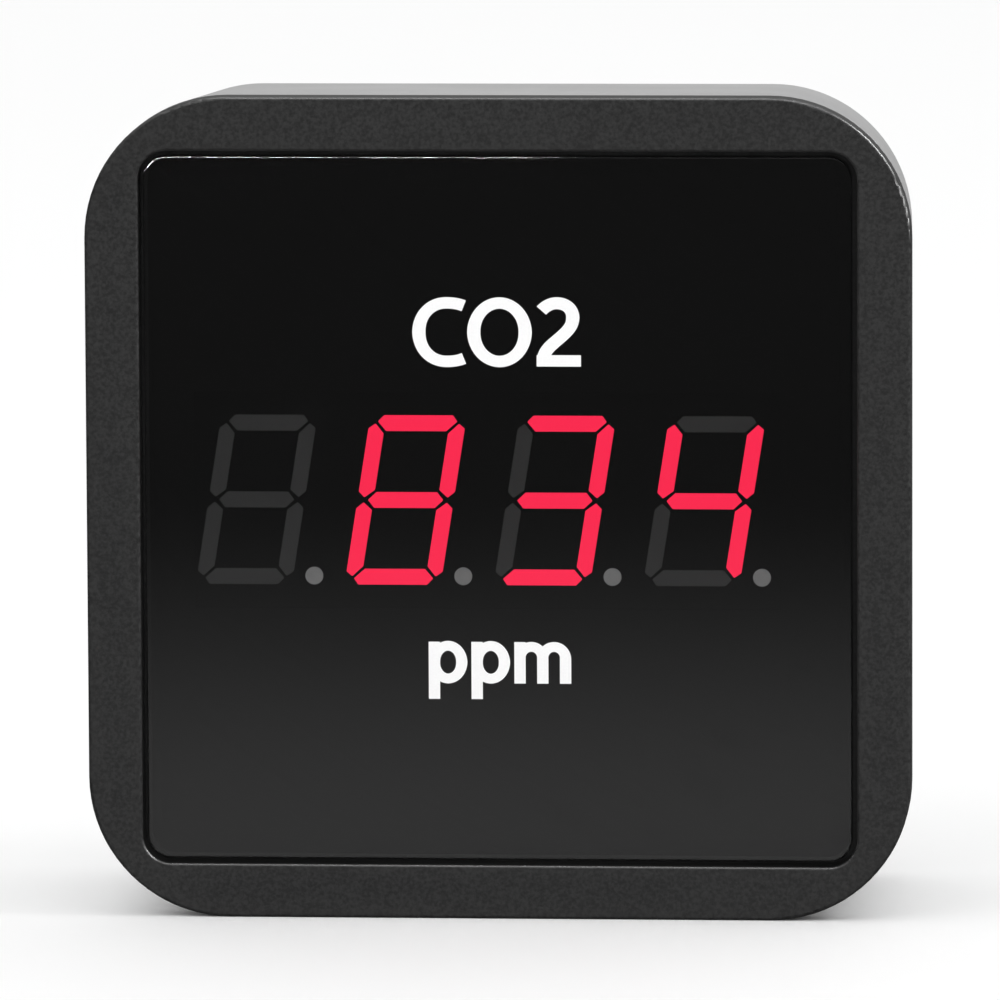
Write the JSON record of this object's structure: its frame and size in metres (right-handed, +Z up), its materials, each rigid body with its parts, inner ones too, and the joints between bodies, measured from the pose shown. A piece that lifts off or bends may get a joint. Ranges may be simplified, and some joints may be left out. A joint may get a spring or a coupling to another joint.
{
  "type": "carbon dioxide monitor",
  "caption": "Square indoor carbon dioxide monitor with a dark front frame, smoked window, red LED digits and a light grey rear shell with vents, keys and keyholes.",
  "frame": {"origin": "middle of the flat base, half way through the case's depth", "axes": "+X to the right as the display is read, +Y to the back, +Z up; the display faces -Y"},
  "size_m": [0.07, 0.028, 0.07],
  "materials": {
    "frame_plastic": "fine-grained dark charcoal moulding",
    "shell_plastic": "satin light grey moulding",
    "smoked_acrylic": "polished smoked acrylic",
    "adhesive_tape": "black adhesive",
    "black_film": "dull black film",
    "display_body": "black face of the display module",
    "segment_lit": "lit red diffuser",
    "segment_unlit": "unlit grey diffuser",
    "tinned_metal": "tin plate",
    "circuit_board": "green solder mask",
    "zinc_steel": "zinc-plated screw",
    "chip_epoxy": "moulded black epoxy",
    "ceramic_tan": "tan ceramic",
    "aluminium_can": "drawn aluminium can",
    "nickel_can": "nickel-plated can",
    "black_plastic": "plain black moulding",
    "key_plastic": "charcoal keys and knob",
    "socket_steel": "drawn stainless shell",
    "gold_plate": "gold plate",
    "lamp_glass": "clear lamp bulb",
    "white_membrane": "porous white membrane"
  },
  "bodies": {
    "case": {"front_frame": "frame_plastic", "display_window": "smoked_acrylic", "window_tape": "adhesive_tape", "display_mask": "black_film", "display_housing": "display_body", "segments_lit": "segment_lit", "segments_unlit": "segment_unlit", "decimal_points": "segment_unlit", "display_pins": "tinned_metal", "main_pcb": "circuit_board", "pcb_screws": "zinc_steel", "microcontroller": "chip_epoxy", "display_driver": "chip_epoxy", "chip_leads": "tinned_metal", "voltage_regulator": "chip_epoxy", "electrolytic_capacitors": "aluminium_can", "crystal": "nickel_can", "chip_resistors": "chip_epoxy", "chip_capacitors": "ceramic_tan", "buzzer": "black_plastic", "key_switches": "black_plastic", "power_switch": "black_plastic", "usb_c_shell": "socket_steel", "usb_c_tongue": "black_plastic", "usb_c_contacts": "gold_plate", "sensor_pcb": "circuit_board", "sensor_chamber": "gold_plate", "sensor_lamp": "lamp_glass", "sensor_detector": "nickel_can", "sensor_membranes": "white_membrane", "sensor_spacers": "black_plastic", "sensor_pins": "gold_plate", "rear_shell": "shell_plastic", "case_screws": "zinc_steel"},
    "alarm_key": {"alarm_button": "key_plastic", "alarm_plunger": "black_plastic"},
    "calibration_key": {"calibration_button": "key_plastic", "calibration_plunger": "black_plastic"},
    "power_slider": {"power_knob": "key_plastic", "power_lever": "black_plastic"}
  },
  "joints": [
    {"name": "alarm_key_press", "type": "slide", "parent": "case", "child": "alarm_key", "axis": [0, -1, 0], "range_m": [0, 0.0005], "stiffness_N_per_m": 400, "springref_m": -0.003},
    {"name": "calibration_key_press", "type": "slide", "parent": "case", "child": "calibration_key", "axis": [0, -1, 0], "range_m": [0, 0.0005], "stiffness_N_per_m": 400, "springref_m": -0.003},
    {"name": "power_slide", "type": "slide", "parent": "case", "child": "power_slider", "axis": [0, 0, -1], "range_m": [0, 0.002]}
  ]
}
